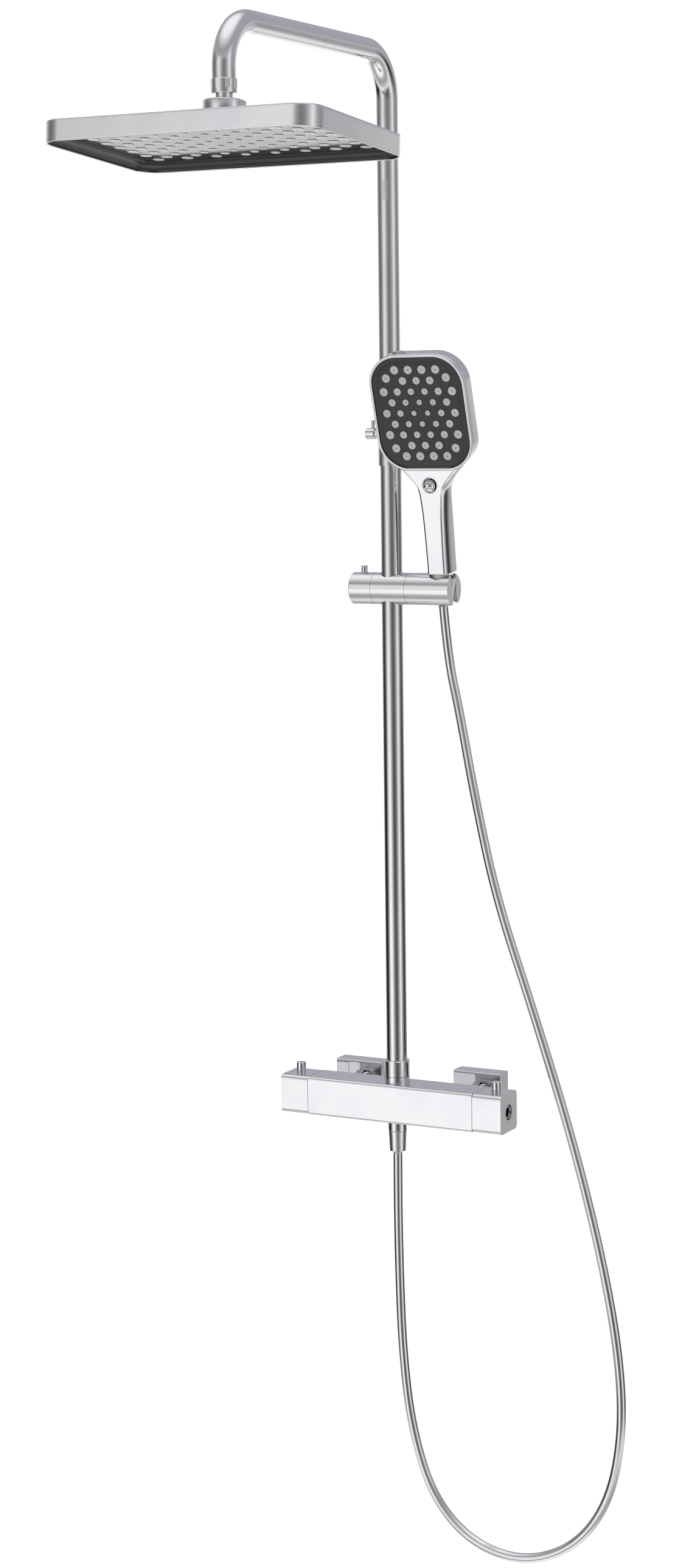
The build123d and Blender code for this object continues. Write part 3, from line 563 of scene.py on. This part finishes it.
def ringed_silicone():
    """Share runs from 0 at a nozzle's centre to 1 at its edge; its sine draws the turned rings,
    and the jet's hole in the middle is painted nearly black as painted shade."""
    finish = moulded("ringed_silicone", (0.56, 0.56, 0.555), (0.66, 0.66, 0.655), 0.26)
    graph = Graph(finish.node_tree)
    shader = graph.nodes["Principled BSDF"]
    attribute = graph.nodes.new("ShaderNodeAttribute")
    attribute.attribute_name = "share"
    share = attribute.outputs["Fac"]
    rings = graph.math("SINE", graph.math("MULTIPLY", share, RINGS))
    pale = shader.inputs["Base Color"].links[0].from_socket
    lined = graph.mix(graph.span(rings, 0.2, 1.0, 0.0, 0.28), pale, (0.2, 0.2, 0.2, 1.0))
    # painted shade: the inside of each jet's hole is coloured nearly black
    painted_hole_shade = graph.span(share, 0.16, 0.09)
    graph.put(shader.inputs["Base Color"], graph.mix(painted_hole_shade, lined, (0.02, 0.02, 0.02, 1.0)))
    return finish


# %% [markdown]
# ## Hose skin
# The foil under the hose's clear skin shines like chrome, with its own broad patches of haze
# where hands have run along it.

# %% Hose skin


def foil_hose():
    """Polished foil under a thin clear skin: the wheel_polish noise with a low roughness."""
    finish, graph, shader, place = new_finish("foil_hose")
    made = use_group(graph, POLISH, Vector=place, Patch=9.0, Smoothest=0.05, Haziest=0.09,
                     Bright=(0.66, 0.67, 0.68, 1.0), Dull=(0.60, 0.61, 0.62, 1.0))
    shader.inputs["Metallic"].default_value = 1.0
    graph.put(shader.inputs["Base Color"], made["Color"])
    graph.put(shader.inputs["Roughness"], made["Roughness"])
    add_bump(graph, shader, made["Height"], 0.000004)
    return finish


# %% [markdown]
# ## Dressing the pieces
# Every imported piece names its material, so one loop dresses them all. The neck of the ball is
# plated like the nut above it, because it shows below it.

# %% All finishes
CHROME_BRIGHT, CHROME_DULL = (0.675, 0.68, 0.695), (0.63, 0.635, 0.655)
FINISHES = {
    "chrome": plated("chrome", CHROME_BRIGHT, CHROME_DULL, 0.035, 0.075),
    "chromed_plastic": plated("chromed_plastic", CHROME_BRIGHT, CHROME_DULL, 0.04, 0.08, 20.0, 0.000008),
    "hose_skin": foil_hose(),
    "face_plastic": moulded("charcoal_face", (0.026, 0.026, 0.027), (0.031, 0.031, 0.032), 0.34),
    "gloss_face": moulded("gloss_face", (0.016, 0.016, 0.017), (0.020, 0.020, 0.021), 0.10, depth=0.000001),
    "satin_bezel": moulded("satin_bezel", (0.014, 0.014, 0.015), (0.018, 0.018, 0.019), 0.24, depth=0.000004),
    "silicone": ringed_silicone(),
    "brass": plated("brass", (0.72, 0.52, 0.26), (0.60, 0.42, 0.20), 0.16, 0.34, 30.0),
    "steel": plated("steel", (0.56, 0.56, 0.56), (0.48, 0.48, 0.49), 0.14, 0.30, 40.0),
    "white_plastic": moulded("white_plastic", (0.66, 0.66, 0.64), (0.74, 0.74, 0.72), 0.42, 1800.0),
    "seal_rubber": moulded("seal_rubber", (0.018, 0.018, 0.018), (0.03, 0.03, 0.03), 0.62, 3200.0),
}


def dress(piece, finish):
    piece.data.materials.clear()
    piece.data.materials.append(FINISHES[finish])


def fit(piece, body, slot, finish, *nodes):
    """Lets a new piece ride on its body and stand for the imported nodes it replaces, and dresses it."""
    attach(piece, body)
    for node in nodes:
        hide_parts(node)
    dress(piece, finish)


for part in frame["record"]["subparts"]:
    dress(frame["nodes"][part["node"]], part["material_slot"])
dress(frame["nodes"]["ball_stud"], "chrome")
for piece in hose_pieces:
    dress(piece, "hose_skin")
print(len(FINISHES), "finishes")

# %% [markdown]
# ## Rounded-square shells
# The handset's head, its face, and the tray of the overhead shower are all one idea: a
# profile carried round a rectangle with round corners. A profile point says how far it lies
# inside the outline and how high it lies along the outline's normal, so the same few lines
# make a rim, a groove or a whole shell.

# %% Outline and swept profile
MM = 0.001


def rounded_outline(width, depth, corner, steps=16):
    """Points and outward directions round a rectangle whose corners are arcs: each arc is the
    corner's centre + corner * (cos a, sin a), and straight sides join one arc to the next."""
    turn = np.linspace(0, np.pi / 2, steps)
    angle = (np.arange(4)[:, None] * np.pi / 2 + turn).ravel()
    way = np.stack([np.cos(angle), np.sin(angle)], -1)
    signs = np.repeat([[1, 1], [-1, 1], [-1, -1], [1, -1]], steps, axis=0)
    centre = signs * (np.array([width, depth]) / 2 - corner)
    return centre + corner * way, way


def swept(outline, profile, close_start=0, close_end=0):
    """Grid of a profile of (inset, lift) rows round an outline: outline - inset * outward way,
    raised by lift; an end is closed by rows that shrink towards the middle."""
    points, way = outline
    inset, lift = np.array(profile, float).T
    flat = points[None] - inset[:, None, None] * way[None]
    grid = np.concatenate([flat, np.broadcast_to(lift[:, None, None], (*flat.shape[:2], 1))], -1)
    if close_start:
        shares = np.linspace(0.0, 1.0, close_start + 1)[:-1] + 0.004
        grid = np.concatenate([grid[:1] * [1, 1, 0] * shares[:, None, None] + grid[:1] * [0, 0, 1], grid])
    if close_end:
        shares = np.linspace(1.0, 0.0, close_end + 1)[1:] + 0.004
        grid = np.concatenate([grid, grid[-1:] * [1, 1, 0] * shares[:, None, None] + grid[-1:] * [0, 0, 1]])
    return grid


def placed(grid, matrix):
    """Points in millimetres of a piece's own frame, moved to metres of the shared frame."""
    matrix = np.array(matrix)
    return (grid * MM) @ matrix[:3, :3].T + matrix[:3, 3]


def arc_profile(inset, lift, radius, start, end, steps):
    """Profile points on an arc: (inset - radius * cos a, lift + radius * sin a)."""
    angle = np.radians(np.linspace(start, end, steps))
    return list(zip(inset - radius * np.cos(angle), lift + radius * np.sin(angle)))


# %% [markdown]
# ## Leaning frames
# The handset leans forward in its cradle, its face leans a little more, and the overhead
# shower droops on its ball. Each gets a frame of its own, in which its surfaces are drawn
# upright in millimetres: +Z of the face frame points out of the face, and +Z of the underside
# frame points down out of the nozzles.

# %% Frames of the handset and of the overhead shower
joint_of = {joint["name"]: joint for joint in frame["joints"]}
lift_axis = joint_of["handset_lift"]["axis"]
HANDLE_LEAN = math.atan2(-lift_axis[1], lift_axis[2])
SOCKET_X = 0.0615
SLIDER_Z = joint_of["cradle_tilt"]["pos_m"][2]
FACE_UP, FACE_FORWARD, FACE_LEAN = 196.8, 22.0, 8.9
BALL = Vector(joint_of["head_spin"]["pos_m"])
HEAD_LEAN = math.radians(-5.0)
LIP_DROP = 37.9                  # the tray's lower lip below the ball's centre


def leaning(place, lean):
    """Frame at a place in metres, leaning about X by an angle in radians."""
    return Matrix.Translation(place) @ Matrix.Rotation(lean, 4, "X")


handle_frame = leaning((SOCKET_X, COLUMN_Y, SLIDER_Z), HANDLE_LEAN)
face_frame = handle_frame @ leaning((0, -FACE_FORWARD * MM, FACE_UP * MM), math.radians(90 + FACE_LEAN))
ball_frame = leaning(BALL, HEAD_LEAN)
under_frame = ball_frame @ leaning((0, 0, -LIP_DROP * MM), math.pi)
print("handle leans", round(math.degrees(HANDLE_LEAN), 2), "degrees")

# %% [markdown]
# ## Nozzles
# Each nozzle is a low silicone disc turned about its own axis: a rounded edge, two fine
# grooves, and the mouth of the jet. One lathe profile, scaled to each nozzle's radius and
# copied to its place, makes the whole mat as one mesh. The share attribute runs from the
# centre to the edge for the ringed finish.

# %% Nozzle builder
NOZZLE_PROFILE = np.array([
    (1.0, -1.0), (1.0, -0.22), (0.975, -0.08), (0.93, 0.0), (0.80, 0.02), (0.72, -0.07), (0.64, 0.03),
    (0.40, 0.05), (0.34, -0.03), (0.28, 0.05), (0.15, 0.04), (0.11, -0.10), (0.08, -0.5), (0.004, -0.55)])


def nozzle_mat(name, jets, top, frame_matrix, columns=20):
    """For a jet at (x, y) with radius r: (x + r * share * cos a, y + r * share * sin a, top + height)."""
    jets = np.array(jets, float)
    share, height = NOZZLE_PROFILE.T
    angle = np.linspace(0, 2 * np.pi, columns, endpoint=False)
    ring = np.stack([np.cos(angle), np.sin(angle)], -1)
    reach = jets[:, None, None, 2:] * share[None, :, None, None]
    flat = jets[:, None, None, :2] + reach * ring[None, None]
    lift = np.broadcast_to((top + height)[None, :, None, None], (*flat.shape[:3], 1))
    grid = placed(np.concatenate([flat, lift], -1), frame_matrix)
    rows = len(share)
    quads = grid_faces(rows, columns)
    cap = (rows - 1) * columns + np.arange(columns)
    faces = []
    for start in np.arange(len(jets)) * rows * columns:
        faces += (quads + start).tolist()
        faces.append((cap + start).tolist())
    piece = mesh_piece(name, grid, faces)
    mark_share(piece, np.broadcast_to(share[None, :, None], grid.shape[:3]))
    print(name, len(jets), "nozzles,", len(faces), "faces")
    return piece


def jet_radius(limits, share):
    """Radius between two limits at a share of the way from the middle to the rim."""
    smallest, largest = limits
    return smallest + (largest - smallest) * min(1.0, share)


# %% [markdown]
# ## The handset's head
# The shell is chromed plastic: a flat back with a small rounding, a thin shadow line where
# rim and back meet, and a narrow polished rim round the face.

# %% Handset head shell
FACE_SIZE = (113.0, 129.8)
FACE_CORNER = 35.0
FACE_DEPTH = 20.5
BACK_ROUND = 3.2
RIM = 2.9
CORNER_STEPS = 20
SHELL_PROFILE = (
    [(24.0, -FACE_DEPTH)]
    + arc_profile(BACK_ROUND, BACK_ROUND - FACE_DEPTH, BACK_ROUND, -90, 0, 10)
    + [(0.0, -4.6), (0.02, -4.1), (0.32, -3.9), (0.32, -3.6), (0.02, -3.4), (0.0, -2.9), (0.0, -0.9)]
    + arc_profile(0.7, -0.7, 0.7, 15, 90, 6)
    + [(1.5, 0.0), (RIM - 0.55, 0.0)]
    + [(RIM - 0.2, -0.12), (RIM, -0.5), (RIM, -3.4)])


face_outline = rounded_outline(*FACE_SIZE, FACE_CORNER, CORNER_STEPS)
head_grid = placed(swept(face_outline, SHELL_PROFILE, close_start=3), face_frame)
head_shell = grid_piece("handset_head_shell", head_grid, caps=(True, False))
fit(head_shell, "handset", "chromed_plastic", "chromed_plastic", "handset_shell")

# %% [markdown]
# ## The handset's face
# One charcoal plate with a soft raised border carries 46 nozzles in rows of 4, 5 and 6. They
# grow from the middle to the edge, and the four at the corners stand further out.

# %% Handset face
BORDER_OUT, BORDER_IN = -1.35, -2.1
FACE_PROFILE = [
    (RIM + 0.05, -3.6), (RIM + 0.06, -2.3), (RIM + 0.35, -1.8), (RIM + 0.9, -1.5), (RIM + 1.6, BORDER_OUT),
    (6.4, BORDER_OUT), (7.6, -1.45), (8.8, -1.75), (9.8, -2.0), (10.8, BORDER_IN), (16.0, BORDER_IN),
    (24.0, BORDER_IN)]
FACE_PITCH = (16.27, 12.05)
FACE_ROWS = (4, 5, 6, 5, 6, 5, 6, 5, 4)
FACE_JET = (2.5, 4.7)
FACE_CORNER_JET = (35.65, 39.2)
CORNER_ROWS = (1, 7)
FACE_JET_TOP = -1.0


def face_jets():
    """Rows of 4, 5 and 6 nozzles; the four at the corners stand further out."""
    jets = []
    middle = len(FACE_ROWS) // 2
    reach = math.hypot(2.5 * FACE_PITCH[0], 2 * FACE_PITCH[1])
    for row, count in enumerate(FACE_ROWS):
        for k in range(count):
            x, y = (k - (count - 1) / 2) * FACE_PITCH[0], (middle - row) * FACE_PITCH[1]
            if row in CORNER_ROWS and k in (0, count - 1):
                x, y = math.copysign(FACE_CORNER_JET[0], x), math.copysign(FACE_CORNER_JET[1], y)
            jets.append((x, y, jet_radius(FACE_JET, math.hypot(x, y) / reach)))
    return jets


face_plate = grid_piece("handset_face", placed(swept(face_outline, FACE_PROFILE, close_end=3), face_frame),
                        caps=(False, True))
face_mat = nozzle_mat("handset_jets", face_jets(), FACE_JET_TOP, face_frame)
fit(face_plate, "handset", "face_plastic", "face_plastic", "handset_plate")
fit(face_mat, "handset", "silicone", "silicone", "handset_nozzles")

# %% [markdown]
# ## The handle
# The front of the grip is a flat facet whose edges roll over in long elliptical curves to flat
# sides; that is what draws one wide white band beside thin dark lines. Going up, the facet
# widens like a trumpet until it meets the rim under the face, while the back gets thinner. The
# button sits in a round recess, pressed into the facet as a smooth step.

# %% Handle
HANDLE_FOOT, HANDLE_TOP = 18.4, 140.0
BUTTON_UP, RECESS_R, RECESS_DEPTH = 117.0, 8.0, 7.5
FRONT = -12.0                    # the facet in front of the handle's axis
ROLL, ROLL_DEPTH = 5.5, 13.0     # how wide and how deep the front edges roll over
EDGE_STEPS, FACET_POINTS = 14, 73
# height, half width, back, roundness of the back edges
HANDLE_STATIONS = np.array([
    (18.0, 13.6, 13.4, 1.5), (40.0, 13.8, 13.2, 1.5), (60.0, 14.2, 12.6, 1.5), (80.0, 14.8, 11.6, 1.6),
    (90.0, 15.4, 10.6, 1.8), (100.0, 16.3, 9.0, 2.2), (108.0, 17.3, 8.0, 2.8), (114.0, 18.9, 7.4, 3.8),
    (119.0, 22.0, 7.0, 7.0), (125.0, 26.9, 7.0, 11.0), (130.0, 31.2, 6.9, 12.0), (135.0, 36.4, 6.6, 12.0),
    (141.0, 42.0, 6.2, 11.0)])


def smooth_between(up, heights, values):
    """Values at the heights joined by cubic curves whose slope follows the neighbours."""
    slope = np.gradient(values, heights)
    k = np.clip(np.searchsorted(heights, up, side="right") - 1, 0, len(heights) - 2)
    step = heights[k + 1] - heights[k]
    t = (up - heights[k]) / step
    return ((1 + 2 * t) * (1 - t) ** 2 * values[k] + t * (1 - t) ** 2 * step * slope[k]
            + t * t * (3 - 2 * t) * values[k + 1] - t * t * (1 - t) * step * slope[k + 1])


def handle_section(up):
    """Half width, front, back, roll depth and back roundness at a height along the handle."""
    heights, *columns = HANDLE_STATIONS.T
    half, back, corner = (smooth_between(up, heights, column) for column in columns)
    tuck = np.clip((up - 133.5) / 6.5, 0.0, 1.0)
    front = FRONT + 0.004 * np.clip(up - 100.0, 0.0, None) + 7.0 * tuck ** 2
    roll = np.minimum(ROLL_DEPTH, back - corner - front)
    return half, front, back, roll, corner


def handle_front(x, up):
    """Front surface: flat, then front + roll * (1 - sqrt(1 - t^2)) over the last 5.5 mm."""
    half, front, back, roll, corner = handle_section(up)
    share = np.clip((np.abs(x) - half + ROLL) / ROLL, 0.0, 0.999)
    return front + roll * (1 - np.sqrt(1 - share * share))


def handle_piece():
    """Rings of four quarter arcs: two ellipses (5.5 wide, roll deep) in front, two circles
    behind; straight stretches join them, the front one with points of its own. Rings are
    close together round the button, and the first five round the foot."""
    foot_rises, foot_shares = (0.0, 0.0, 0.0, 0.25, 0.8), (0.02, 0.7, 0.955, 0.985, 1.0)
    up = np.concatenate([HANDLE_FOOT + np.array(foot_rises), np.linspace(20.0, 104.0, 40),
                         np.linspace(104.5, 130.0, 78), np.linspace(130.5, HANDLE_TOP, 16)])
    shrink = np.ones(len(up))
    shrink[:5] = foot_shares
    half, front, back, roll, corner = (value[:, None] for value in handle_section(up))
    turn = np.linspace(0.0, np.pi / 2, EDGE_STEPS)[None]
    across = np.linspace(-1.0, 1.0, FACET_POINTS)[None]
    facet = (half - ROLL) * across
    x = np.concatenate([
        facet, half - ROLL + ROLL * np.sin(turn[:, 1:]), half - corner + corner * np.cos(turn),
        -half + corner - corner * np.sin(turn), -half + ROLL - ROLL * np.cos(turn[:, :-1])], 1)
    y = np.concatenate([
        np.broadcast_to(front, facet.shape), front + roll * (1 - np.cos(turn[:, 1:])),
        back - corner + corner * np.sin(turn), back - corner + corner * np.cos(turn),
        front + roll * (1 - np.sin(turn[:, :-1]))], 1)
    x = x * shrink[:, None]
    y = y * shrink[:, None]
    z = np.broadcast_to(up[:, None], x.shape)
    inside = (np.hypot(x, z - BUTTON_UP) < RECESS_R + 0.35) & (y < 0)
    y = np.where(inside, np.minimum(y + RECESS_DEPTH, -1.0), y)
    grid = placed(np.stack([x, y, z], -1), handle_frame)
    return grid_piece("handset_handle", grid, caps=(True, True))


fit(handle_piece(), "handset", "chromed_plastic", "chromed_plastic", "handset_shell")

# %% [markdown]
# ## Ring of the button's recess
# A thin collar, pressed into the hole, covers the edge of the recess and follows the handle's
# front. Its inner wall is the side of the hole that the button slides in.

# %% Ring of the button's recess
RING_PROFILE = ((RECESS_R, 6.0), (RECESS_R, 0.6), (RECESS_R + 0.05, 0.12), (RECESS_R + 0.2, -0.1),
                (RECESS_R + 1.1, -0.1), (RECESS_R + 1.35, 0.15))


def recess_ring():
    """Ring that follows the handle's front: (r cos a, front(x, z) + depth, r sin a)."""
    radius, depth = np.array(RING_PROFILE).T
    angle = np.linspace(0, 2 * np.pi, 72, endpoint=False)[None]
    x, z = radius[:, None] * np.cos(angle), BUTTON_UP + radius[:, None] * np.sin(angle)
    y = handle_front(x, z) + depth[:, None]
    grid = placed(np.stack([x, y, z], -1), handle_frame)
    return grid_piece("recess_ring", grid)


fit(recess_ring(), "handset", "chromed_plastic", "chromed_plastic")

# %% [markdown]
# ## The overhead shower
# A thin tray of chromed metal, open below, with a rolled lip. Inside it a black border curves
# up to a glossy face with 98 nozzles. Seen along its surface the gloss mirrors the bright
# room, which is why a black face looks silver from here.

# %% Tray
HEAD_SIZE = (305.0, 204.0)
HEAD_CORNER = 25.0
HEAD_WALL = 21.8
TRAY_PROFILE = (
    [(22.0, -HEAD_WALL)] + arc_profile(1.6, 1.6 - HEAD_WALL, 1.6, -90, 0, 7)
    + [(0.0, -18.0), (0.0, -3.0)] + arc_profile(0.8, -0.8, 0.8, 0, 90, 6)
    + [(1.5, 0.0)] + arc_profile(1.5, -0.7, 0.7, 90, 180, 6) + [(2.2, -4.0)])
BORDER_PROFILE = [(2.25, -0.9)] + [
    (2.3 + 10.6 * (1 - math.cos(turn)), -1.0 - 7.0 * math.sin(turn))
    for turn in np.linspace(0.0, math.pi / 2, 16)] + [
    (13.4, -8.02), (13.6, -8.3), (13.8, -9.2), (15.2, -10.2)]
FACE_LEVEL = -9.5


tray_outline = rounded_outline(*HEAD_SIZE, HEAD_CORNER, 18)
TRAY_PARTS = (
    ("rain_tray", TRAY_PROFILE, (3, 0), "chrome", "chrome", "head_shell"),
    ("rain_border", BORDER_PROFILE, (0, 0), "face_plastic", "satin_bezel", "head_bezel"),
    ("rain_face", [(inset, FACE_LEVEL) for inset in (14.0, 18.0, 23.0)], (0, 3), "face_plastic", "gloss_face",
     "head_plate"))
for name, profile, (start, end), slot, finish, node in TRAY_PARTS:
    grid = placed(swept(tray_outline, profile, start, end), under_frame)
    fit(grid_piece(name, grid, caps=(start > 0, end > 0)), "head", slot, finish, node)

# %% [markdown]
# ## Nozzles of the overhead shower
# The 98 nozzles stand in rows of 8 and 7 by turns, small in the middle and wide at the rim.

# %% Nozzles of the overhead shower
HEAD_PITCH = (34.1, 12.35)
HEAD_ROWS = 13
HEAD_JET = (2.3, 6.15)
GROWTH = 1.25                    # the widest size is reached this much before the corner
HEAD_JET_PROUD = 0.6


def rain_jets():
    """Rows of 8 and 7 by turns; the radius grows from the middle to the rim."""
    half = HEAD_ROWS // 2
    reach = math.hypot(3.5 * HEAD_PITCH[0], half * HEAD_PITCH[1])
    jets = []
    for row in range(-half, half + 1):
        count = 8 if row % 2 == 0 else 7
        for k in range(count):
            x, y = (k - (count - 1) / 2) * HEAD_PITCH[0], row * HEAD_PITCH[1]
            jets.append((x, y, jet_radius(HEAD_JET, GROWTH * math.hypot(x, y) / reach)))
    return jets


rain_mat = nozzle_mat("rain_jets", rain_jets(), FACE_LEVEL + HEAD_JET_PROUD, under_frame)
fit(rain_mat, "head", "silicone", "silicone", "head_nozzles")

# %% [markdown]
# ## Cap of the ball socket
# A turned ring with straight sides and a low dome, screwed over the ball: one lathe profile.

# %% Socket cap
CAP_PROFILE = ((21.6, 0.4), (21.6, 9.2), (21.45, 9.8), (20.9, 10.3), (18.5, 11.1), (16.0, 11.8), (14.0, 12.2),
               (13.3, 12.3), (12.9, 12.0), (12.6, 10.8))


def cap_piece():
    """Lathe: (r cos a, r sin a, lift) about the leaning axis through the ball."""
    radius, lift = np.array(CAP_PROFILE).T
    angle = np.linspace(0, 2 * np.pi, 96, endpoint=False)
    flat = radius[:, None, None] * np.stack([np.cos(angle), np.sin(angle)], -1)[None]
    grid = np.concatenate([flat, np.broadcast_to(lift[:, None, None], (*flat.shape[:2], 1))], -1)
    return grid_piece("ball_cap", placed(grid, ball_frame))


fit(cap_piece(), "head", "chrome", "chrome", "socket_cap")
